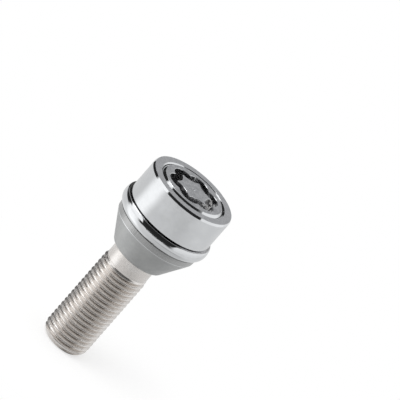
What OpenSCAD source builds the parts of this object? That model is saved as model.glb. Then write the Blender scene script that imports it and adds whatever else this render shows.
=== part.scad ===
// Locking wheel bolt with a free-spinning collar.
// It stands on the flat end of its threaded shank, with the head up along +Z.
// The origin is the middle of that end face. All sizes are in millimetres.

/* [Threaded shank] */
// Major diameter of the thread
thread_d = 14; // [13.4:0.1:14.5]
// Diameter of the flat end face
tip_d = 10.9; // [8:0.1:11.5]
// Height of the chamfer above the end face
tip_chamfer_h = 2.5; // [1:0.1:4]
// Length of the threaded stretch above the chamfer
thread_length = 25.2; // [15:0.1:40]
// Height over which the thread runs out into the neck
runout_h = 2; // [0.6:0.1:3]
// Diameter of the plain neck, close to the thread's pitch diameter
neck_d = 13.2; // [10:0.1:13.4]
// Length of the plain neck above the run-out
neck_length = 4; // [2:0.5:20]

/* [Cone seat] */
// Diameter of the cone at the neck, before its edge is rounded
cone_small_d = 16.3; // [15.5:0.1:19]
// Diameter of the cone at its wide end
cone_big_d = 25.8; // [23:0.1:26.4]
// Included angle of the cone, in degrees
cone_angle = 60; // [50:1:90]
// Radius of the edge where the cone meets the neck
cone_edge_r = 0.7; // [0.1:0.1:1.2]
// Height of the land between the cone and the flange
land_h = 2.4; // [1:0.1:4]
// Widening of the land from the cone to the flange, on the diameter
land_flare = 0.4; // [0.1:0.1:0.6]

/* [Flange] */
// Largest diameter of the flange
flange_d = 28.6; // [28:0.1:32]
// Height of the flange from the land to the seat of the collar
flange_h = 3.7; // [3:0.1:5]
// Height of the widest place above the flange's lower face
flange_mid_h = 1.9; // [1:0.1:2]
// Radius of the round under the widest place
flange_low_r = 2.7; // [2:0.1:4]
// Radius of the round above the widest place
flange_high_r = 4.6; // [2.5:0.1:8]
// Radius of the shoulder where the rim turns in to the seat
flange_edge_r = 0.4; // [0.2:0.1:0.8]

/* [Head core] */
// Diameter of the core that the collar turns on
core_d = 20.4; // [20:0.1:22]
// Height of the core's face above the top of the collar
core_proud = 0.25; // [0:0.05:1.5]
// Width and height of the bevel round the core's face
core_bevel = 0.7; // [0.1:0.05:0.8]

/* [Key groove] */
// Number of lobes
key_lobes = 6; // [5:1:7]
// Reach of the groove's outer wall at the tip of a lobe
key_reach_r = 8.15; // [7.6:0.05:8.3]
// Radius of the arc that forms each lobe of the outer wall
key_lobe_arc_r = 3.45; // [3.2:0.05:3.6]
// Reach of the island at the tip of a point
island_point_r = 5.7; // [5:0.05:5.8]
// Distance from the axis to the island's wall between two points
island_waist_r = 4.2; // [3.8:0.05:4.4]
// Radius of the hollow arc between two points of the island
island_hollow_r = 4.4; // [4.2:0.1:6]
// Depth of the groove below the core's face
key_depth = 5.5; // [3:0.1:7]
// Diameter of the centre mark on the island
centre_mark_d = 0.9; // [0.4:0.1:1.6]
// Depth of the centre mark
centre_mark_h = 0.35; // [0.1:0.05:0.8]

/* [Collar] */
// Thickness of the collar's wall
collar_wall = 2.95; // [2.4:0.05:3.3]
// Height of the collar
collar_h = 10.3; // [8:0.1:14]
// Height of the bevel round the collar's top
collar_bevel_h = 0.7; // [0.2:0.05:1]
// Width of the bevel round the collar's top
collar_bevel_w = 0.3; // [0.1:0.05:1]
// Width and height of the bevel at the mouth of the collar's bore
bore_bevel = 0.35; // [0.1:0.05:0.6]
// Width and height of the bevel round the collar's lower edge
collar_low_bevel = 0.2; // [0.1:0.05:0.4]

/* [Retaining ring] */
// Diameter of the ring's wire
ring_wire_d = 1.4; // [1:0.1:1.6]
// Height of the ring above the flange
ring_height = 3.2; // [2:0.1:4]
// Share of the wire that stands in the groove of the core
ring_inset = 0.5; // [0.4:0.05:0.6]
// Opening of the ring's split, in degrees
ring_split = 16; // [8:1:30]

/* [Clearances] */
// Radial running clearance between the core and the collar
running_gap = 0.1; // [0.05:0.01:0.1]
// Axial play between the flange and the collar
axial_gap = 0.15; // [0.1:0.01:0.3]
// Room round the wire in each of its two grooves
ring_gap = 0.08; // [0.05:0.01:0.12]

/* [Hidden] */
$fn = 96;
arc_fn = 48;
// Overshoot of a cut past the face that it opens
cut = 0.5;
mark_cut_h = centre_mark_h + cut;

// Heights along the axis, from the end face up
thread_z = tip_chamfer_h;
runout_z = thread_z + thread_length;
neck_z = runout_z + runout_h;
cone_z = neck_z + neck_length;
cone_h = (cone_big_d - cone_small_d) / 2 / tan(cone_angle / 2);
land_z = cone_z + cone_h;
flange_z = land_z + land_h;
seat_z = flange_z + flange_h;
collar_z = seat_z + axial_gap;
collar_top_z = collar_z + collar_h;
face_z = collar_top_z + core_proud;
ring_z = seat_z + ring_height;

// Angles at which the rounds of the flange meet its lower face and its shoulder
flange_low_a = -asin(flange_mid_h / flange_low_r);
flange_high_a = asin((flange_h - flange_mid_h - flange_edge_r) / (flange_high_r - flange_edge_r));
flange_mid_z = flange_z + flange_mid_h;
shoulder_centre = [
    flange_d / 2 - flange_high_r + (flange_high_r - flange_edge_r) * cos(flange_high_a),
    seat_z - flange_edge_r
];
// Inset of the centre of the cone's edge from the cone's small radius
cone_edge_inset = cone_edge_r * (1 - sin(cone_angle / 2)) / cos(cone_angle / 2);

// Radii that follow from the core and the wire
core_r = core_d / 2;
bore_r = core_r + running_gap;
collar_r = bore_r + collar_wall;
ring_path_r = core_r + ring_wire_d * (0.5 - ring_inset);
groove_r = ring_wire_d / 2 + ring_gap;
lobe_pitch = 360 / key_lobes;
// Distance of a lobe's arc centre from the axis
lobe_centre_r = key_reach_r - key_lobe_arc_r;
// Distance of a hollow's arc centre from the axis
hollow_centre_r = island_waist_r + island_hollow_r;

// Points of an arc in the half-section, from one angle to another
function arc(centre, radius, from, to, steps = 12) = [
    for (i = [0:steps])
        let (angle = from + (to - from) * i / steps)
            centre + radius * [cos(angle), sin(angle)]
];

// Half-section of the whole forging, as radius and height
function bolt_section() = concat(
    [[0, 0], [tip_d / 2, 0], [thread_d / 2, thread_z], [thread_d / 2, runout_z]],
    [[neck_d / 2, neck_z], [neck_d / 2, cone_z]],
    arc(
        [cone_small_d / 2 - cone_edge_inset, cone_z + cone_edge_r],
        cone_edge_r, -90, -cone_angle / 2, 6
    ),
    [[cone_big_d / 2, land_z], [(cone_big_d + land_flare) / 2, flange_z]],
    arc([flange_d / 2 - flange_low_r, flange_mid_z], flange_low_r, flange_low_a, 0),
    arc([flange_d / 2 - flange_high_r, flange_mid_z], flange_high_r, 0, flange_high_a, 8),
    arc(shoulder_centre, flange_edge_r, flange_high_a, 90, 6),
    [[core_r, seat_z], [core_r, face_z - core_bevel], [core_r - core_bevel, face_z]],
    [[0, face_z]]
);

// Lobed outline of the groove's outer wall
module groove_outline() {
    for (i = [0:key_lobes - 1])
        rotate((i + 0.5) * lobe_pitch)
            translate([lobe_centre_r, 0])
                circle(r = key_lobe_arc_r);
}

// Star-shaped outline of the island inside the groove
module island_outline() {
    difference() {
        circle(r = island_point_r);
        for (i = [0:key_lobes - 1])
            rotate(i * lobe_pitch)
                translate([hollow_centre_r, 0])
                    circle(r = island_hollow_r);
    }
}

// Round channel that takes the wire of the retaining ring
module ring_channel() {
    translate([0, 0, ring_z])
        rotate_extrude()
            translate([ring_path_r, 0])
                circle(r = groove_r, $fn = arc_fn);
}

// One forging: threaded shank, cone seat, flange and grooved core
module bolt() {
    color("lightgray")
        difference() {
            rotate_extrude()
                polygon(bolt_section());
            translate([0, 0, face_z - key_depth])
                linear_extrude(height = key_depth + cut)
                    difference() {
                        groove_outline();
                        island_outline();
                    }
            translate([0, 0, face_z - centre_mark_h])
                cylinder(d1 = 0, d2 = centre_mark_d * mark_cut_h / centre_mark_h, h = mark_cut_h);
            ring_channel();
        }
}

// Split wire ring that holds the collar on the core
module retaining_ring() {
    color("dimgray")
        translate([0, 0, ring_z])
            rotate((ring_split - 180) / 2)
                rotate_extrude(angle = 360 - ring_split)
                    translate([ring_path_r, 0])
                        circle(d = ring_wire_d, $fn = arc_fn);
}

// Sleeve that spins freely on the core
module collar() {
    color("silver")
        difference() {
            rotate_extrude()
                polygon([
                    [bore_r, collar_z],
                    [collar_r - collar_low_bevel, collar_z],
                    [collar_r, collar_z + collar_low_bevel],
                    [collar_r, collar_top_z - collar_bevel_h],
                    [collar_r - collar_bevel_w, collar_top_z],
                    [bore_r + bore_bevel, collar_top_z],
                    [bore_r, collar_top_z - bore_bevel]
                ]);
            ring_channel();
        }
}

bolt();
retaining_ring();
collar();
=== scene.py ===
"""Looks of a locking wheel bolt with a free-spinning collar.

The bolt's sizes and the camera's distances are in millimetres.
The floor, the panels and the lamp are laid out in metres.
"""

from math import asin, ceil, cos, degrees, pi, radians, sin, sqrt, tan

import bmesh
import bpy
from mathutils import Matrix, Vector


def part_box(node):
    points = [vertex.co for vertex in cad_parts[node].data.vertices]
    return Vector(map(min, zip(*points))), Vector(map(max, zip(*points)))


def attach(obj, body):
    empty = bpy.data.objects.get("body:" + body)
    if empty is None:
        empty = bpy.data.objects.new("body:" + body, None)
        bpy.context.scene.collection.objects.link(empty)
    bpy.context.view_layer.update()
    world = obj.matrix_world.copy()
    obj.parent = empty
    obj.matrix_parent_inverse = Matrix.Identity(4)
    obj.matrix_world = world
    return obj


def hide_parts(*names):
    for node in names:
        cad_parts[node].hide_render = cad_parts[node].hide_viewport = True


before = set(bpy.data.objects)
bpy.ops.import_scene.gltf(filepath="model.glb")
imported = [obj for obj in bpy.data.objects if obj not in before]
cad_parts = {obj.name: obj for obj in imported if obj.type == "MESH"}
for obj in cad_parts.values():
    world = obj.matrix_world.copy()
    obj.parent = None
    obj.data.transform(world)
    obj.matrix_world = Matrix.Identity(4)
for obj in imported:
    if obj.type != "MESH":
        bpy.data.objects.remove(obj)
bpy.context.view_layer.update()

METRES = 0.001

# Places that come from the frame
_, BOLT_HIGH = (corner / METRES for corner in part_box("bolt"))
COLLAR_LOW, COLLAR_HIGH = (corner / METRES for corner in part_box("collar"))
WIRE_LOW, WIRE_HIGH = (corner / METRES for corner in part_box("retaining_ring"))
FLANGE_R = BOLT_HIGH.x
FACE_Z = BOLT_HIGH.z
COLLAR_R = COLLAR_HIGH.x
COLLAR_Z = COLLAR_LOW.z
COLLAR_TOP_Z = COLLAR_HIGH.z
WIRE_R = (WIRE_HIGH.z - WIRE_LOW.z) / 2
WIRE_Z = (WIRE_HIGH.z + WIRE_LOW.z) / 2
WIRE_PATH_R = WIRE_HIGH.x - WIRE_R

# Threaded shank and neck
THREAD_R = 7.0
THREAD_PITCH = 1.5
# Height of a crest above a whole number of turns, on the +X side
THREAD_PHASE = 0.3
TIP_R = 5.45
TIP_CHAMFER_H = 2.5
# Fullness of the chamfer: 1 is a straight cone
TIP_FULLNESS = 2.0
RUNOUT_H = 2.0
NECK_R = 6.6
NECK_LENGTH = 4.0
# Small bevel where the neck meets the cone
NECK_CORNER = 0.1

# Cone seat and flange
CONE_SMALL_R = 8.15
CONE_BIG_R = 12.9
CONE_HALF_ANGLE = radians(30)
CONE_EDGE_R = 0.7
LAND_H = 2.4
LAND_TOP_R = 13.1
# Reach of the bright edge on each side of the corner between the cone and the land
BRIGHT_EDGE = 0.09
# Half-round undercut between the land and the flange
UNDERCUT_R = 0.25
FLANGE_H = 3.7
FLANGE_MID_H = 1.9
FLANGE_LOW_R = 2.7
FLANGE_HIGH_R = 4.6
FLANGE_EDGE_R = 0.4

# Head core and key groove
CORE_R = 10.2
CORE_BEVEL = 0.7
# Small bevels where the core meets the seat, and at both sides of its own bevel
CORE_FOOT = 0.1
CORE_CORNER = 0.02
KEY_LOBES = 6
KEY_REACH_R = 8.15
KEY_LOBE_ARC_R = 3.45
ISLAND_POINT_R = 5.7
ISLAND_WAIST_R = 4.2
ISLAND_HOLLOW_R = 4.4
KEY_DEPTH = 5.5
KEY_FILLET = 0.15
KEY_EDGE_ROUND = 0.14
ISLAND_EDGE_ROUND = 0.12
CENTRE_MARK_R = 0.45
CENTRE_MARK_H = 0.35

# Collar
BORE_R = 10.3
COLLAR_BEVEL_H = 0.7
COLLAR_BEVEL_W = 0.3
BORE_BEVEL = 0.35
COLLAR_LOW_BEVEL = 0.2
AXIAL_GAP = 0.15
CHANNEL_R = WIRE_R + 0.08

# Heights that follow, from the head down
SEAT_Z = COLLAR_Z - AXIAL_GAP
FLANGE_Z = SEAT_Z - FLANGE_H
LAND_Z = FLANGE_Z - LAND_H
CONE_Z = LAND_Z - (CONE_BIG_R - CONE_SMALL_R) / tan(CONE_HALF_ANGLE)
NECK_Z = CONE_Z - NECK_LENGTH
RUNOUT_Z = NECK_Z - RUNOUT_H

# Columns of vertices round the axis; a multiple of twice the number of lobes
COLUMNS = 168
MERGE_DISTANCE = 0.002
SHARP_ANGLE = radians(32)
# Distance from an edge of the row that keeps the stretch beside it flat, and the shortest such stretch
SUPPORT = 0.04
LONG_STRETCH = 0.25

# Materials of the forging, by the place of each in its list
NICKEL, SATIN, CHROME, FACE, GROOVE, GAP_SHADE = range(6)
# Materials of the collar
SLEEVE, SLEEVE_TOP, SLEEVE_EDGE, SLEEVE_BORE = range(4)


# Outlines

def arc(centre, radius, start, end, steps):
    """Points of an arc in the half-section, from one angle to another, in radians."""
    angles = [start + (end - start) * i / steps for i in range(steps + 1)]
    return [(centre[0] + radius * cos(a), centre[1] + radius * sin(a)) for a in angles]


def with_finish(points, finish):
    """Rows of the half-section whose faces, up to the next row, have one finish."""
    return [(radius, height, finish) for radius, height in points]


def bend(start, corner, end, steps):
    """Points of a curve that leaves one side of a corner and joins the other."""
    start, corner, end = Vector(start), Vector(corner), Vector(end)
    points = []
    for i in range(steps + 1):
        t = i / steps
        points.append(tuple(start * (1 - t) ** 2 + corner * 2 * t * (1 - t) + end * t ** 2))
    return points


def supported(rows):
    """Rows with one more close to each end of a long stretch, so that its shading stays flat."""
    made = []
    for row, after in zip(rows, rows[1:] + [None]):
        made.append(row)
        if after is None or isinstance(row[0], list) or isinstance(after[0], list):
            continue
        start, end = Vector(row[:2]), Vector(after[:2])
        length = (end - start).length
        if length > LONG_STRETCH:
            for share in (SUPPORT / length, 1 - SUPPORT / length):
                made.append((*start.lerp(end, share), row[2]))
    return made


def rounded(corners, steps=4):
    """Closed half-section with rounded corners. A corner is its radius, height, round and finish."""
    rows = []
    befores = corners[-1:] + corners[:-1]
    afters = corners[1:] + corners[:1]
    for before, corner, after in zip(befores, corners, afters):
        point = Vector(corner[:2])
        to_before = (Vector(before[:2]) - point).normalized()
        to_after = (Vector(after[:2]) - point).normalized()
        reach = corner[2] / tan(to_before.angle(to_after) / 2)
        start = point + to_before * reach
        end = point + to_after * reach
        rows += with_finish(bend(start, point, end, steps), corner[3])
    return rows


def groove_reach(angle, grow=0.0):
    """Distance from the axis to the groove's outer wall. A larger grow widens the groove."""
    pitch = 2 * pi / KEY_LOBES
    off_lobe = angle % pitch - pitch / 2
    lobe_centre_r = KEY_REACH_R - KEY_LOBE_ARC_R
    across = lobe_centre_r * sin(off_lobe)
    return lobe_centre_r * cos(off_lobe) + sqrt((KEY_LOBE_ARC_R + grow) ** 2 - across ** 2)


def island_reach(angle, grow=0.0):
    """Distance from the axis to the island's wall. A larger grow widens the island."""
    pitch = 2 * pi / KEY_LOBES
    off_hollow = (angle + pitch / 2) % pitch - pitch / 2
    hollow_centre_r = ISLAND_WAIST_R + ISLAND_HOLLOW_R
    hollow_r = ISLAND_HOLLOW_R - grow
    across = hollow_centre_r * sin(off_hollow)
    if abs(across) >= hollow_r:
        return ISLAND_POINT_R + grow
    wall = hollow_centre_r * cos(off_hollow) - sqrt(hollow_r ** 2 - across ** 2)
    return min(ISLAND_POINT_R + grow, wall)


def around(reach, grow=0.0):
    """An outline's distance from the axis at each column."""
    return [reach(2 * pi * i / COLUMNS, grow) for i in range(COLUMNS)]


# Meshes

def polar_faces(rows, first, closed=False):
    """Quads between neighbouring rows of vertices, which are numbered from first."""
    faces = []
    last = rows if closed else rows - 1
    for row in range(last):
        low = first + row * COLUMNS
        high = first + (row + 1) % rows * COLUMNS
        for i in range(COLUMNS):
            after = (i + 1) % COLUMNS
            faces.append((low + i, low + after, high + after, high + i))
    return faces


def lathe_points(rows):
    """Vertices of the rows. A row's radius is one number, or one for each column."""
    points = []
    for radius, height, _ in rows:
        for i in range(COLUMNS):
            reach = radius[i] if isinstance(radius, list) else radius
            angle = 2 * pi * i / COLUMNS
            points.append((reach * cos(angle), reach * sin(angle), height))
    return points


def thread_profile():
    """Thread's section over one pitch, from a crest on: each point's share of the pitch and its radius."""
    triangle_h = THREAD_PITCH * sqrt(3) / 2
    crest_half = 1 / 16
    crest_bend = 0.05
    root_start = 0.29
    root_corner = 0.37
    middle = 0.5
    bend_steps = 3
    slope = 2 * triangle_h
    root_r = THREAD_R - 17 / 24 * triangle_h
    flank_top = (crest_half + crest_bend, THREAD_R - slope * crest_bend)
    flank_foot = (root_start, THREAD_R - slope * (root_start - crest_half))
    crest = bend((crest_half - crest_bend, THREAD_R), (crest_half, THREAD_R), flank_top, bend_steps)
    flank = [tuple(Vector(flank_top).lerp(Vector(flank_foot), share)) for share in (1 / 3, 2 / 3)]
    root = bend(flank_foot, (root_corner, root_r), (middle, root_r), bend_steps)
    half = [(0.0, THREAD_R)] + crest + flank + root[:-1]
    mirrored = [(1 - share, radius) for share, radius in reversed(half[1:])]
    return half + [(middle, root_r)] + mirrored


def thread_radius(profile_r, height):
    """Radius of the shank where its section has profile_r, within the chamfered tip and the run-out."""
    left_over = max(1 - height / TIP_CHAMFER_H, 0)
    tip_cone_r = THREAD_R - (THREAD_R - TIP_R) * left_over ** TIP_FULLNESS
    runout = min(max((height - RUNOUT_Z) / RUNOUT_H, 0), 1)
    fade = runout * runout * (3 - 2 * runout)
    return min(profile_r + (NECK_R - profile_r) * fade, tip_cone_r)


def thread_mesh():
    """Vertices and quads of the helical shank. A row that reaches round joins the same row one turn up."""
    profile = thread_profile()
    turns_below = 3
    turns_above = 2
    turns = turns_below + ceil(NECK_Z / THREAD_PITCH) + turns_above
    points = []
    for turn in range(turns):
        for share, profile_r in profile:
            for i in range(COLUMNS):
                raw = (turn - turns_below + share + i / COLUMNS) * THREAD_PITCH + THREAD_PHASE
                height = min(max(raw, 0), NECK_Z)
                reach = thread_radius(profile_r, height)
                if raw >= NECK_Z:
                    reach = NECK_R
                angle = 2 * pi * i / COLUMNS
                points.append((reach * cos(angle), reach * sin(angle), height))
    rows = turns * len(profile)
    faces = []
    for row in range(rows - 1 - len(profile)):
        for i in range(COLUMNS):
            low = row * COLUMNS + i
            high = low + COLUMNS
            turn_on = len(profile) * COLUMNS - COLUMNS if i == COLUMNS - 1 else 0
            faces.append((low, low + 1 + turn_on, high + 1 + turn_on, high))
    return points, faces


def solid_from(name, points, faces, finishes, materials):
    """Object of merged points in metres, with outward normals, and sharp edges where the section turns."""
    mesh = bpy.data.meshes.new(name)
    mesh.from_pydata([Vector(p) * METRES for p in points], [], faces)
    for material in materials:
        mesh.materials.append(material)
    mesh.polygons.foreach_set("material_index", finishes)
    work = bmesh.new()
    work.from_mesh(mesh)
    bmesh.ops.remove_doubles(work, verts=work.verts, dist=MERGE_DISTANCE * METRES)
    bmesh.ops.recalc_face_normals(work, faces=work.faces)
    for face in work.faces:
        face.smooth = True
    work.to_mesh(mesh)
    work.free()
    mesh.set_sharp_from_angle(angle=SHARP_ANGLE)
    made = bpy.data.objects.new(name, mesh)
    bpy.context.scene.collection.objects.link(made)
    return made


def shank_end_rows():
    """Flat end face, from the axis out."""
    middle_r = 2
    rim = 0.6
    return with_finish([(0, 0), (middle_r, 0), (TIP_R - rim, 0), (TIP_R, 0)], NICKEL)


def seat_rows():
    """Neck, cone seat and land."""
    neck = [(NECK_R, NECK_Z), (NECK_R, (NECK_Z + CONE_Z) / 2), (NECK_R, CONE_Z - NECK_CORNER)]
    inset = CONE_EDGE_R * (1 - sin(CONE_HALF_ANGLE)) / cos(CONE_HALF_ANGLE)
    edge_centre = (CONE_SMALL_R - inset, CONE_Z + CONE_EDGE_R)
    edge = arc(edge_centre, CONE_EDGE_R, -pi / 2, -CONE_HALF_ANGLE, 8)
    cone_steps = 6
    cone_foot = Vector(edge[-1])
    cone_top = Vector((CONE_BIG_R, LAND_Z))
    cone = [tuple(cone_foot.lerp(cone_top, i / cone_steps)) for i in range(1, cone_steps)]
    along_cone = Vector((sin(CONE_HALF_ANGLE), cos(CONE_HALF_ANGLE)))
    bright_edge = [
        tuple(cone_top - along_cone * BRIGHT_EDGE),
        (CONE_BIG_R - BRIGHT_EDGE / 6, LAND_Z - BRIGHT_EDGE / 8),
    ]
    land_middle = ((CONE_BIG_R + LAND_TOP_R) / 2, (LAND_Z + FLANGE_Z) / 2)
    land = [(CONE_BIG_R, LAND_Z + BRIGHT_EDGE), land_middle]
    undercut = arc((LAND_TOP_R, FLANGE_Z - UNDERCUT_R), UNDERCUT_R, -pi / 2, -3 * pi / 2, 6)
    rows = with_finish(neck, NICKEL)
    rows += with_finish([(NECK_R + NECK_CORNER, CONE_Z)] + edge + cone, SATIN)
    return rows + with_finish(bright_edge, CHROME) + with_finish(land + undercut[:-1], SATIN)


def flange_rows():
    """Rim of the flange, its shoulder and the seat of the collar."""
    mid_z = FLANGE_Z + FLANGE_MID_H
    low_angle = -asin(FLANGE_MID_H / FLANGE_LOW_R)
    rise = FLANGE_H - FLANGE_MID_H - FLANGE_EDGE_R
    high_angle = asin(rise / (FLANGE_HIGH_R - FLANGE_EDGE_R))
    low = arc((FLANGE_R - FLANGE_LOW_R, mid_z), FLANGE_LOW_R, low_angle, 0, 12)
    high = arc((FLANGE_R - FLANGE_HIGH_R, mid_z), FLANGE_HIGH_R, 0, high_angle, 8)
    shoulder_r = FLANGE_R - FLANGE_HIGH_R + (FLANGE_HIGH_R - FLANGE_EDGE_R) * cos(high_angle)
    shoulder = arc((shoulder_r, SEAT_Z - FLANGE_EDGE_R), FLANGE_EDGE_R, high_angle, pi / 2, 8)
    bright_steps = 5
    rim = with_finish(low + high[1:] + shoulder[1:bright_steps], CHROME)
    # The top of the shoulder and the seat take the dark gap finish: painted shade under the collar.
    return rim + with_finish(shoulder[bright_steps:] + [(CORE_R + CORE_FOOT, SEAT_Z)], GAP_SHADE)


def core_rows():
    """Core with the channel for the wire, and the bevel round its face."""
    channel = arc((WIRE_PATH_R, WIRE_Z), CHANNEL_R, -pi / 2, -3 * pi / 2, 16)
    side = [(CORE_R, SEAT_Z + CORE_FOOT)] + channel + [(CORE_R, FACE_Z - CORE_BEVEL - CORE_CORNER)]
    bevel = [
        (CORE_R - CORE_CORNER, FACE_Z - CORE_BEVEL + CORE_CORNER),
        (CORE_R - CORE_BEVEL + CORE_CORNER, FACE_Z - CORE_CORNER),
    ]
    face_rim = [(CORE_R - CORE_BEVEL - CORE_CORNER, FACE_Z)]
    # The core's side under the collar takes the dark gap finish: painted shade.
    return with_finish(side, GAP_SHADE) + with_finish(bevel, CHROME) + with_finish(face_rim, FACE)


def edge_rows(reach, side, size, finish, steps=4):
    """Round from the face down to a wall. Side is 1 where the face lies outside the wall, and -1 inside."""
    rows = []
    for i in range(steps + 1):
        turn = pi / 2 * i / steps
        grow = side * size * (1 - sin(turn))
        rows.append((around(reach, grow), FACE_Z - size * (1 - cos(turn)), finish))
    return rows


def groove_rows():
    """Face, key groove, island and centre mark, from the bevel in to the axis."""
    floor_z = FACE_Z - KEY_DEPTH
    wall_foot_z = floor_z + KEY_FILLET
    wall_steps = 5
    plain_ring_r = KEY_REACH_R + 0.75
    mouth = edge_rows(groove_reach, 1, KEY_EDGE_ROUND, CHROME)
    mouth_rim = (around(groove_reach, KEY_EDGE_ROUND + SUPPORT), FACE_Z, FACE)
    rows = [(plain_ring_r, FACE_Z, FACE), mouth_rim] + mouth
    mouth_z = mouth[-1][1]
    for i in range(1, wall_steps + 1):
        height = mouth_z + (wall_foot_z - mouth_z) * i / wall_steps
        rows.append((around(groove_reach), height, GROOVE))
    rows.append((around(groove_reach, -KEY_FILLET), floor_z, GROOVE))
    rows.append((around(island_reach, KEY_FILLET), floor_z, GROOVE))
    island_mouth = edge_rows(island_reach, -1, ISLAND_EDGE_ROUND, CHROME)[::-1]
    island_mouth_z = island_mouth[0][1]
    for i in range(wall_steps):
        height = wall_foot_z + (island_mouth_z - wall_foot_z) * i / wall_steps
        rows.append((around(island_reach), height, GROOVE))
    rows += island_mouth[:-1] + [(*island_mouth[-1][:2], FACE)]
    rows.append((around(island_reach, -ISLAND_EDGE_ROUND - SUPPORT), FACE_Z, FACE))
    for ring_r in (3.0, 1.5, CENTRE_MARK_R):
        rows.append((ring_r, FACE_Z, FACE))
    rows.append((0, FACE_Z - CENTRE_MARK_H, FACE))
    return rows


def bolt_forging(materials):
    """Threaded shank, cone seat, flange and grooved core: one forging."""
    points, faces = thread_mesh()
    finishes = [NICKEL] * len(faces)
    upper = supported(seat_rows() + flange_rows() + core_rows() + groove_rows())
    for rows in (shank_end_rows(), upper):
        band = polar_faces(len(rows), len(points))
        finishes += [rows[i // COLUMNS][2] for i in range(len(band))]
        points += lathe_points(rows)
        faces += band
    return solid_from("bolt_forging", points, faces, finishes, materials)


def spinning_collar(materials):
    """Sleeve with bevelled edges and the channel for the wire in its bore."""
    # Hair's breadth by which the bore widens at its foot
    foot_lead = 0.001
    # Radius, height, round and finish of each corner, from the foot of the bore outwards
    corners = [
        (BORE_R + foot_lead, COLLAR_Z, 0.03, SLEEVE_EDGE),
        (COLLAR_R - COLLAR_LOW_BEVEL, COLLAR_Z, 0.04, SLEEVE_EDGE),
        (COLLAR_R, COLLAR_Z + COLLAR_LOW_BEVEL, 0.1, SLEEVE),
        (COLLAR_R, COLLAR_TOP_Z - COLLAR_BEVEL_H, 0.12, SLEEVE_EDGE),
        (COLLAR_R - COLLAR_BEVEL_W, COLLAR_TOP_Z, 0.05, SLEEVE_TOP),
        (BORE_R + BORE_BEVEL, COLLAR_TOP_Z, 0.05, SLEEVE_EDGE),
        (BORE_R, COLLAR_TOP_Z - BORE_BEVEL, 0.05, SLEEVE_BORE),
    ]
    opening = asin((BORE_R - WIRE_PATH_R) / CHANNEL_R)
    channel = arc((WIRE_PATH_R, WIRE_Z), CHANNEL_R, pi / 2 - opening, opening - pi / 2, 16)
    rows = rounded(corners) + with_finish(channel, SLEEVE_BORE)
    rows = supported(rows + rows[:1])[:-1]
    points = lathe_points(rows)
    faces = polar_faces(len(rows), 0, closed=True)
    finishes = [rows[i // COLUMNS][2] for i in range(len(faces))]
    return solid_from("spinning_collar", points, faces, finishes, materials)


# Materials

def add(tree, kind, inputs=None, **settings):
    """A new node with its settings, and its inputs linked or set."""
    made = tree.nodes.new(kind)
    for name, value in settings.items():
        setattr(made, name, value)
    for key, value in (inputs or {}).items():
        if isinstance(value, bpy.types.NodeSocket):
            tree.links.new(value, made.inputs[key])
        else:
            made.inputs[key].default_value = value
    return made


def maths(tree, operation, first, second=0.0):
    """Output of one Math node."""
    return add(tree, "ShaderNodeMath", {0: first, 1: second}, operation=operation).outputs[0]


def distance_from(tree, value, centre):
    """How far a value lies from a centre, on either side of it."""
    return maths(tree, "ABSOLUTE", maths(tree, "SUBTRACT", value, centre))


def span(tree, value, low, high, to_low=0.0, to_high=1.0):
    """Value carried from one range to another along a smooth step."""
    inputs = {"Value": value, "From Min": low, "From Max": high, "To Min": to_low, "To Max": to_high}
    return add(tree, "ShaderNodeMapRange", inputs, interpolation_type="SMOOTHSTEP").outputs["Result"]


def between(tree, share, first, second):
    """Number that goes from the first to the second as the share goes from 0 to 1."""
    return add(tree, "ShaderNodeMix", {0: share, 2: first, 3: second}).outputs[0]


def shader_between(tree, share, first, second):
    """Shader that goes from the first to the second as the share goes from 0 to 1."""
    return add(tree, "ShaderNodeMixShader", {0: share, 1: first, 2: second}).outputs[0]


def blended(tree, share, first, second):
    """Colour that goes from the first to the second as the share goes from 0 to 1."""
    mix = add(tree, "ShaderNodeMix", data_type="RGBA")
    for key, value in {"Factor": share, "A": first, "B": second}.items():
        socket = next(s for s in mix.inputs if s.name == key and s.enabled)
        if isinstance(value, bpy.types.NodeSocket):
            tree.links.new(value, socket)
        else:
            socket.default_value = value
    return next(s for s in mix.outputs if s.enabled)


def empty_material(name):
    """New material without any node."""
    material = bpy.data.materials.new(name)
    material.use_nodes = True
    material.node_tree.nodes.clear()
    return material


def cool_grey(level):
    """Grey of some level with a faint blue cast."""
    return (level * 0.98, level, level * 1.02, 1)


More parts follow.
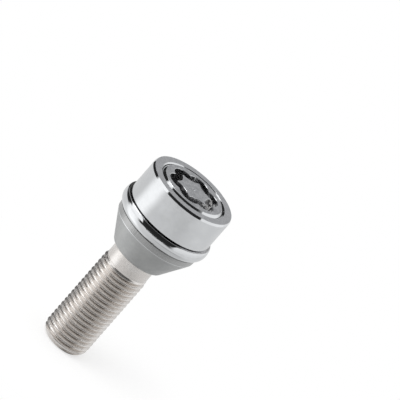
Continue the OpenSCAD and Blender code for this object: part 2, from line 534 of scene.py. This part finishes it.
class Surface:
    """Material in the making, with the object's coordinates in millimetres at hand."""

    def __init__(self, name):
        self.material = empty_material(name)
        self.tree = self.material.node_tree
        place = add(self.tree, "ShaderNodeTexCoord").outputs["Object"]
        scaled = {0: place, "Scale": 1 / METRES}
        self.place = add(self.tree, "ShaderNodeVectorMath", scaled, operation="SCALE").outputs[0]
        apart = add(self.tree, "ShaderNodeSeparateXYZ", {0: self.place})
        self.across = apart.outputs["X"]
        self.height = apart.outputs["Z"]
        flat = {0: self.place, 1: (1, 1, 0)}
        on_plane = add(self.tree, "ShaderNodeVectorMath", flat, operation="MULTIPLY").outputs[0]
        measure = add(self.tree, "ShaderNodeVectorMath", {0: on_plane}, operation="LENGTH")
        self.radius = measure.outputs["Value"]

    def noise(self, scale, detail=3.0, roughness=0.5, stretch=(1, 1, 1)):
        """Noise in space, with scale in waves to the millimetre."""
        sized = {0: self.place, 1: stretch}
        vector = add(self.tree, "ShaderNodeVectorMath", sized, operation="MULTIPLY").outputs[0]
        inputs = {"Vector": vector, "Scale": scale, "Detail": detail, "Roughness": roughness}
        return add(self.tree, "ShaderNodeTexNoise", inputs).outputs["Fac"]

    def uneven(self, scale, detail, low, high):
        """Number that wanders between two values."""
        return span(self.tree, self.noise(scale, detail), 0.3, 0.7, low, high)

    def lines(self, along, scale, detail=2.0):
        """Noise along one measure only, such as turning marks along the radius."""
        inputs = {"W": along, "Scale": scale, "Detail": detail}
        return add(self.tree, "ShaderNodeTexNoise", inputs, noise_dimensions="1D").outputs["Fac"]

    def bump(self, height, strength, distance, normal=None):
        """Normal bent by a height. Distance is in millimetres."""
        inputs = {"Height": height, "Strength": strength, "Distance": distance * METRES}
        if normal:
            inputs["Normal"] = normal
        return add(self.tree, "ShaderNodeBump", inputs).outputs["Normal"]

    def finish(self, colour, roughness, normal, metallic=1.0):
        """Metal shader at the end of the material."""
        inputs = {"Base Color": colour, "Roughness": roughness, "Normal": normal, "Metallic": metallic}
        shader = add(self.tree, "ShaderNodeBsdfPrincipled", inputs).outputs["BSDF"]
        add(self.tree, "ShaderNodeOutputMaterial", {"Surface": shader})
        return self.material


def nickel_material():
    """Warm nickel plating of the shank, with darker thread roots: partly dirt and partly painted shade,
    which deepens towards the right.
    """
    s = Surface("warm_nickel")
    patches = span(s.tree, s.noise(0.35, 4), 0.42, 0.68)
    plain = blended(s.tree, patches, (0.83, 0.795, 0.765, 1), (0.89, 0.865, 0.84, 1))
    # The thread's roots are darker: partly dirt, partly painted shade.
    on_thread = maths(s.tree, "LESS_THAN", s.height, NECK_Z)
    in_root = span(s.tree, s.radius, 6.1, 6.5, 1.0, 0.0)
    root_dirt_and_shade = maths(s.tree, "MULTIPLY", on_thread, in_root)
    # Painted shade in the roots: light at the left where the highlight falls, dark towards the right.
    to_right = span(s.tree, s.across, -4.5, 4.0)
    root_dirt_and_shade_colour = blended(s.tree, to_right, (0.84, 0.795, 0.755, 1), (0.55, 0.50, 0.455, 1))
    colour = blended(s.tree, root_dirt_and_shade, plain, root_dirt_and_shade_colour)
    roughness = s.uneven(1.5, 3, 0.20, 0.30)
    grain = s.bump(s.noise(3, 2), 0.03, 0.04)
    marks = s.bump(s.lines(s.height, 9), 0.05, 0.03, grain)
    return s.finish(colour, roughness, marks, 0.9)


def satin_material():
    """Dull plating of the cone seat with a fine blasted grain, and the scratched land above it."""
    s = Surface("satin_zinc")
    on_land = span(s.tree, s.height, LAND_Z, LAND_Z + 0.2)
    clouds = span(s.tree, s.noise(0.25, 4), 0.35, 0.7)
    on_cone = blended(s.tree, clouds, (0.52, 0.53, 0.53, 1), (0.575, 0.585, 0.58, 1))
    colour = blended(s.tree, on_land, on_cone, (0.48, 0.485, 0.485, 1))
    polish = span(s.tree, on_land, 0, 1, 1.0, 0.6)
    roughness = maths(s.tree, "MULTIPLY", s.uneven(1.2, 3, 0.36, 0.46), polish)
    grain = s.bump(s.noise(7, 2), 0.16, 0.04)
    scratches = s.noise(2.4, 2, stretch=(1, 1, 0.12))
    scratched = s.bump(scratches, span(s.tree, on_land, 0, 1, 0.0, 0.9), 0.08, grain)
    marks = s.bump(s.lines(s.height, 6), span(s.tree, on_land, 0, 1, 0.10, 0.35), 0.03, scratched)
    return s.finish(colour, roughness, marks)


def chrome_material(name, low, high, roughness_low, roughness_high, ripple):
    """Bright plating with a faint orange-peel ripple and a breath of cloudiness."""
    s = Surface(name)
    clouds = span(s.tree, s.noise(0.2, 3), 0.35, 0.7)
    colour = blended(s.tree, clouds, cool_grey(low), cool_grey(high))
    roughness = s.uneven(0.9, 4, roughness_low, roughness_high)
    peel = s.bump(s.noise(0.8, 2), ripple, 0.05)
    marks = s.bump(s.lines(s.height, 12), 0.02, 0.02, peel)
    return s.finish(colour, roughness, marks)


def turned_material(name, colour_low, colour_high, roughness_low, roughness_high, pitted):
    """Turned face with marks round the axis and a fine mottle."""
    s = Surface(name)
    mottle = span(s.tree, s.noise(1.1, 5, 0.65), 0.36, 0.66)
    colour = blended(s.tree, mottle, colour_low, colour_high)
    roughness = s.uneven(3.0, 3, roughness_low, roughness_high)
    pits = s.bump(s.noise(4, 3), pitted, 0.05)
    marks = s.bump(s.lines(s.radius, 9), 0.12, 0.03, pits)
    return s.finish(colour, roughness, marks, 0.7)


def groove_material():
    """Dark uneven walls of the pressed groove: painted shade that deepens towards the bottom, patchy
    painted shade on the island, and painted glints at one side.
    """
    s = Surface("pressed_groove")
    # The walls darken towards the bottom of the groove: painted shade.
    depth = span(s.tree, s.height, FACE_Z - 3, FACE_Z - 0.2)
    smudges = span(s.tree, s.noise(1.4, 4), 0.35, 0.7)
    smudged_mouth_colour = blended(s.tree, smudges, (0.66, 0.66, 0.67, 1), (0.86, 0.86, 0.87, 1))
    depth_shaded = blended(s.tree, depth, (0.46, 0.46, 0.47, 1), smudged_mouth_colour)
    # Patchy painted shade on the island's walls.
    island_shade_patches = span(s.tree, s.noise(0.5, 2), 0.40, 0.56)
    on_island = maths(s.tree, "LESS_THAN", s.radius, ISLAND_POINT_R)
    island_shade_mask = maths(s.tree, "MULTIPLY", island_shade_patches, on_island)
    island_shaded = blended(s.tree, island_shade_mask, depth_shaded, (0.22, 0.22, 0.23, 1))
    # Painted glints on the +X side: black and white flecks on a lighter, less metallic patch, which also
    # gets deeper dents.
    glint_side = span(s.tree, s.across, 2.5, 5.5)
    glint_side_spots = span(s.tree, s.noise(0.9, 3), 0.36, 0.52)
    glint_patch = maths(s.tree, "MULTIPLY", glint_side, glint_side_spots)
    glint_flecks = span(s.tree, s.noise(1.0, 1), 0.40, 0.50)
    painted_glints = blended(s.tree, glint_flecks, (0.06, 0.06, 0.065, 1), (0.95, 0.95, 0.95, 1))
    colour = blended(s.tree, glint_patch, island_shaded, painted_glints)
    roughness = s.uneven(1.8, 3, 0.18, 0.36)
    dents = s.bump(s.noise(1.1, 3), span(s.tree, glint_patch, 0, 1, 0.35, 0.9), 0.25)
    bare = span(s.tree, glint_patch, 0, 1, 0.94, 0.1)
    return s.finish(colour, roughness, dents, bare)


def gap_shade_material():
    """Dark steel of the surfaces that the collar runs on: painted shade in the gap between the collar and
    the forging, with painted light at both sides of the seat.
    """
    s = Surface("gap_shade_steel")
    # Painted shade: near-black steel in the gap under the collar.
    dark_mottle = span(s.tree, s.noise(0.8, 3), 0.35, 0.7)
    gap_shade = blended(s.tree, dark_mottle, (0.06, 0.06, 0.062, 1), (0.10, 0.098, 0.095, 1))
    # Painted light: lighter patches at both sides of the seat.
    on_seat = maths(s.tree, "LESS_THAN", s.height, SEAT_Z + AXIAL_GAP / 2)
    off_front = span(s.tree, distance_from(s.tree, s.across, 1.2), 4.5, 7.2)
    off_left = span(s.tree, s.across, -10.6, -9)
    lit_sides = maths(s.tree, "MULTIPLY", on_seat, maths(s.tree, "MULTIPLY", off_front, off_left))
    colour = blended(s.tree, lit_sides, gap_shade, (0.70, 0.70, 0.71, 1))
    roughness = s.uneven(2.0, 2, 0.3, 0.42)
    return s.finish(colour, roughness, s.bump(s.lines(s.height, 8), 0.2, 0.03))


def wire_material():
    """Drawn spring wire with draw marks along it."""
    s = Surface("drawn_wire")
    clouds = span(s.tree, s.noise(0.5, 3), 0.35, 0.7)
    colour = blended(s.tree, clouds, (0.30, 0.30, 0.31, 1), (0.38, 0.37, 0.36, 1))
    roughness = s.uneven(2.0, 2, 0.3, 0.42)
    return s.finish(colour, roughness, s.bump(s.lines(s.height, 8), 0.2, 0.03))


# Camera, lights and floor

# The photograph's view: its size in pixels, its scale, and where a point of the axis falls in it
PICTURE_SIZE = 400
PIXELS_PER_MM = 3.69
AIM_HEIGHT = 30.0
AIM_PIXEL = (129.4, 263.7)
VIEW_ELEVATION = radians(22)
VIEW_ROLL = radians(41.229)
VIEW_DISTANCE = 4000.0
SENSOR_MM = 36.0

# Half side of the floor in metres
FLOOR_REACH = 2.5
# Middles of the brighter and darker parts of the floor's glow, as azimuths in degrees
HIGHLIGHT_AZIMUTH = -70.0
DIP_AZIMUTH = 30.0
DARK_AZIMUTH = 42.0
SHADE_AZIMUTH = 60.0
# Distances from the axis, in metres, of the dark rings that the land and the end's edge mirror
LAND_MIRROR_RADIUS = 0.068
END_MIRROR_RADIUS = 0.0056


def make_camera():
    """Camera at the photograph's angle, rolled so that the bolt leans as it does there."""
    back = Vector((0, -cos(VIEW_ELEVATION), sin(VIEW_ELEVATION)))
    level = Vector((1, 0, 0))
    rise = back.cross(level)
    right = level * cos(VIEW_ROLL) + rise * sin(VIEW_ROLL)
    up = rise * cos(VIEW_ROLL) - level * sin(VIEW_ROLL)
    off_right = (AIM_PIXEL[0] - PICTURE_SIZE / 2) / PIXELS_PER_MM
    off_up = (PICTURE_SIZE / 2 - AIM_PIXEL[1]) / PIXELS_PER_MM
    place = Vector((0, 0, AIM_HEIGHT)) + back * VIEW_DISTANCE - right * off_right - up * off_up
    lens = bpy.data.cameras.new("camera")
    lens.sensor_width = SENSOR_MM
    lens.lens = PIXELS_PER_MM * VIEW_DISTANCE / PICTURE_SIZE * SENSOR_MM
    lens.clip_start = 0.01
    lens.clip_end = 20
    camera = bpy.data.objects.new("camera", lens)
    turn = Matrix((right, up, back)).transposed().to_4x4()
    camera.matrix_world = Matrix.Translation(place * METRES) @ turn
    bpy.context.scene.collection.objects.link(camera)
    bpy.context.scene.camera = camera


def make_world():
    """White backdrop for the camera, a plain room for soft light, and a dark room in reflections."""
    world = bpy.data.worlds.new("studio")
    bpy.context.scene.world = world
    world.use_nodes = True
    tree = world.node_tree
    tree.nodes.clear()
    path = add(tree, "ShaderNodeLightPath").outputs
    soft_level, dark_level, backdrop_level = 0.75, 0.02, 1.0
    room = between(tree, path["Is Glossy Ray"], soft_level, dark_level)
    strength = between(tree, path["Is Camera Ray"], room, backdrop_level)
    backdrop = add(tree, "ShaderNodeBackground", {"Color": (1, 1, 1, 1), "Strength": strength})
    add(tree, "ShaderNodeOutputWorld", {"Surface": backdrop.outputs[0]})


def light_card(name, corners, level_start, level_end, feather=0.08, soft_foot=False):
    """Soft panel seen in reflections only, whose level changes from its first corner to its second.

    The feather is the share of a side over which the panel fades out. Its foot fades only with soft_foot.
    """
    mesh = bpy.data.meshes.new(name)
    mesh.from_pydata(corners, [], [(0, 1, 2, 3)])
    layer = mesh.uv_layers.new(name="across")
    for loop, place in zip(layer.data, ((0, 0), (1, 0), (1, 1), (0, 1))):
        loop.uv = place
    material = empty_material(name)
    tree = material.node_tree
    apart = add(tree, "ShaderNodeSeparateXYZ", {0: add(tree, "ShaderNodeTexCoord").outputs["UV"]})
    u, v = apart.outputs["X"], apart.outputs["Y"]
    level = span(tree, u, 0, 1, level_start, level_end)
    sides = maths(tree, "MULTIPLY", span(tree, u, 0, feather), span(tree, u, 1, 1 - feather))
    ends = span(tree, v, 1, 1 - feather)
    if soft_foot:
        ends = maths(tree, "MULTIPLY", ends, span(tree, v, 0, feather))
    glow = add(tree, "ShaderNodeEmission", {"Strength": level}).outputs[0]
    clear = add(tree, "ShaderNodeBsdfTransparent").outputs[0]
    soft = shader_between(tree, maths(tree, "MULTIPLY", sides, ends), clear, glow)
    add(tree, "ShaderNodeOutputMaterial", {"Surface": soft})
    mesh.materials.append(material)
    card = bpy.data.objects.new(name, mesh)
    bpy.context.scene.collection.objects.link(card)
    card.visible_camera = False
    card.visible_diffuse = False
    card.visible_shadow = False


def make_cards():
    """Panels round and above the dark room, as the plating mirrors them. Corners are in metres."""
    left = [(-1, -1.464, 0), (-1, 0.012, 0), (-1, 0.534, 1.6), (-1, -0.765, 1.6)]
    right = [(1, -0.983, 0), (1, 1.45, 0), (1, 1.45, 1.3), (1, 0.03, 1.3)]
    back = [(1.12, 1.3, 0), (-0.45, 1.3, 0), (-0.45, 1.3, 1.5), (1.12, 1.3, 1.5)]
    back_left = [(-0.4, 1.35, 0.55), (-1.25, 1.35, 0.55), (-1.25, 1.35, 1.6), (-0.4, 1.35, 1.6)]
    above = [(-1.7, -0.3, 1.5), (1.5, -0.3, 1.5), (1.5, 3.2, 1.5), (-1.7, 3.2, 1.5)]
    patch = [(-1.3, 0.0, 1.45), (-0.2, 0.0, 1.45), (-0.2, 1.1, 1.45), (-1.3, 1.1, 1.45)]
    light_card("left_panel", left, 1.05, 1.1, feather=0.16)
    light_card("right_panel", right, 0.85, 0.9)
    light_card("back_panel", back, 0.8, 0.35)
    light_card("back_left_panel", back_left, 0.4, 0.5, feather=0.12, soft_foot=True)
    light_card("top_panel", above, 0.58, 0.24, soft_foot=True)
    light_card("top_left_panel", patch, 5.0, 5.0, feather=0.4, soft_foot=True)


def floor_place(tree):
    """Distance from the axis in metres, and azimuth in degrees: 0 faces the camera, 90 is at its right."""
    apart = add(tree, "ShaderNodeSeparateXYZ", {0: add(tree, "ShaderNodeTexCoord").outputs["Object"]})
    x, y = apart.outputs["X"], apart.outputs["Y"]
    squares = maths(tree, "ADD", maths(tree, "MULTIPLY", x, x), maths(tree, "MULTIPLY", y, y))
    azimuth = maths(tree, "ARCTAN2", x, maths(tree, "MULTIPLY", y, -1.0))
    return maths(tree, "SQRT", squares), maths(tree, "MULTIPLY", azimuth, degrees(1))


def near_level(tree, radius, azimuth):
    """Glow of the floor near the bolt, which the shank, the cone and the flange's underside mirror."""
    off_shade = distance_from(tree, azimuth, SHADE_AZIMUTH)
    shade = span(tree, off_shade, 10, 150, 0.52, 0.82)
    off_dip = distance_from(tree, azimuth, DIP_AZIMUTH)
    open_floor = maths(tree, "ADD", span(tree, off_dip, 0, 60, -0.09, 0.0), 0.71)
    base = between(tree, span(tree, radius, 0.035, 0.10), shade, open_floor)
    off_highlight = distance_from(tree, azimuth, HIGHLIGHT_AZIMUTH)
    highlight = span(tree, off_highlight, 8, 34, 0.45, 0.0)
    lit = maths(tree, "ADD", base, maths(tree, "MULTIPLY", highlight, span(tree, radius, 0.02, 0.045)))
    in_front = span(tree, distance_from(tree, azimuth, DARK_AZIMUTH), 10, 60, 1.0, 0.0)
    for_land = span(tree, distance_from(tree, radius, LAND_MIRROR_RADIUS), 0.004, 0.014, 0.2, 0.0)
    for_end = span(tree, distance_from(tree, radius, END_MIRROR_RADIUS), 0.0001, 0.00025, 0.45, 0.0)
    dark = maths(tree, "MULTIPLY", maths(tree, "ADD", for_land, for_end), in_front)
    return maths(tree, "SUBTRACT", lit, dark)


def far_level(tree, radius, azimuth):
    """Glow of the floor further out, which the collar and the flange's rim mirror."""
    to_right = span(tree, azimuth, 38, 54, 0.03, 0.8)
    to_left = span(tree, distance_from(tree, azimuth, HIGHLIGHT_AZIMUTH), 16, 30, 1.0, 0.0)
    behind_left = span(tree, azimuth, -95, -85, 0.66, 0.0)
    behind_left = maths(tree, "MULTIPLY", behind_left, span(tree, radius, 0.36, 0.28))
    return maths(tree, "MAXIMUM", maths(tree, "MAXIMUM", to_right, to_left), behind_left)


def mirrored_level(tree, radius, azimuth):
    """Glow of the floor in reflections, with a ragged border between near and far."""
    place = add(tree, "ShaderNodeTexCoord").outputs["Object"]
    ragged = add(tree, "ShaderNodeTexNoise", {"Vector": place, "Scale": 18.0, "Detail": 3.0}).outputs["Fac"]
    reach = maths(tree, "MULTIPLY", radius, span(tree, ragged, 0.3, 0.7, 0.6, 1.08))
    outward = span(tree, reach, 0.17, 0.195)
    return between(tree, outward, near_level(tree, radius, azimuth), far_level(tree, radius, azimuth))


def seen_floor(tree, radius):
    """Floor as the camera sees it: it takes the shadow near the bolt, and fades to plain white."""
    pale = add(tree, "ShaderNodeBsdfDiffuse", {"Color": (0.5, 0.5, 0.5, 1)}).outputs[0]
    glow = add(tree, "ShaderNodeEmission", {"Strength": 0.575}).outputs[0]
    shadowed = add(tree, "ShaderNodeAddShader", {0: pale, 1: glow}).outputs[0]
    white = add(tree, "ShaderNodeEmission", {"Strength": 1.0}).outputs[0]
    return shader_between(tree, span(tree, radius, 0.008, 0.05), shadowed, white)


def floor_material():
    """Floor with one look for the camera, one in reflections and one as a source of soft light."""
    material = empty_material("pale_floor")
    tree = material.node_tree
    radius, azimuth = floor_place(tree)
    level = mirrored_level(tree, radius, azimuth)
    mirrored = add(tree, "ShaderNodeEmission", {"Strength": level}).outputs[0]
    lit = add(tree, "ShaderNodeBsdfDiffuse", {"Color": (0.9, 0.9, 0.9, 1)}).outputs[0]
    path = add(tree, "ShaderNodeLightPath").outputs
    shown = shader_between(tree, path["Is Camera Ray"], lit, seen_floor(tree, radius))
    above = shader_between(tree, path["Is Glossy Ray"], shown, mirrored)
    clear = add(tree, "ShaderNodeBsdfTransparent").outputs[0]
    under = add(tree, "ShaderNodeNewGeometry").outputs["Backfacing"]
    both = shader_between(tree, under, above, clear)
    add(tree, "ShaderNodeOutputMaterial", {"Surface": both})
    return material


def make_floor():
    """Square floor under the bolt, clear from below."""
    corners = [(-FLOOR_REACH, -FLOOR_REACH, 0), (FLOOR_REACH, -FLOOR_REACH, 0)]
    corners += [(FLOOR_REACH, FLOOR_REACH, 0), (-FLOOR_REACH, FLOOR_REACH, 0)]
    mesh = bpy.data.meshes.new("floor")
    mesh.from_pydata(corners, [], [(0, 1, 2, 3)])
    mesh.materials.append(floor_material())
    floor = bpy.data.objects.new("floor", mesh)
    bpy.context.scene.collection.objects.link(floor)


def make_lamp():
    """Large soft lamp from the upper left, for the contact shadow; reflections show the panels instead."""
    lamp = bpy.data.lights.new("soft_lamp", "AREA")
    lamp.shape = "DISK"
    lamp.size = 0.9
    lamp.energy = 6.0
    holder = bpy.data.objects.new("soft_lamp", lamp)
    holder.location = (-0.7, -0.5, 1.3)
    holder.rotation_euler = Vector(holder.location).to_track_quat("Z", "Y").to_euler()
    holder.visible_glossy = False
    bpy.context.scene.collection.objects.link(holder)


def dress():
    """The pieces that stand for the solids, and the finish of the solid that stays."""
    chrome = chrome_material("bright_chrome", 0.80, 0.86, 0.04, 0.08, 0.12)
    face = turned_material("coined_face", (0.40, 0.41, 0.43, 1), (0.56, 0.57, 0.592, 1), 0.24, 0.36, 0.35)
    gap_shade = gap_shade_material()
    forging = bolt_forging([nickel_material(), satin_material(), chrome, face, groove_material(), gap_shade])
    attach(forging, "bolt_body")
    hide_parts("bolt")

    sleeve = chrome_material("sleeve_chrome", 0.78, 0.83, 0.13, 0.18, 0.03)
    edge = chrome_material("edge_chrome", 0.82, 0.88, 0.05, 0.09, 0.02)
    top = turned_material("sleeve_face", (0.48, 0.49, 0.512, 1), (0.56, 0.57, 0.592, 1), 0.22, 0.30, 0.12)
    # The collar's bore takes the dark gap finish too: painted shade.
    collar = spinning_collar([sleeve, top, edge, gap_shade])
    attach(collar, "collar_body")
    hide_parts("collar")

    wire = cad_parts["retaining_ring"]
    drawn = wire_material()
    for place in wire.material_slots:
        place.material = drawn


make_camera()
make_world()
make_cards()
make_floor()
make_lamp()
dress()
bpy.context.scene.view_settings.view_transform = "Standard"
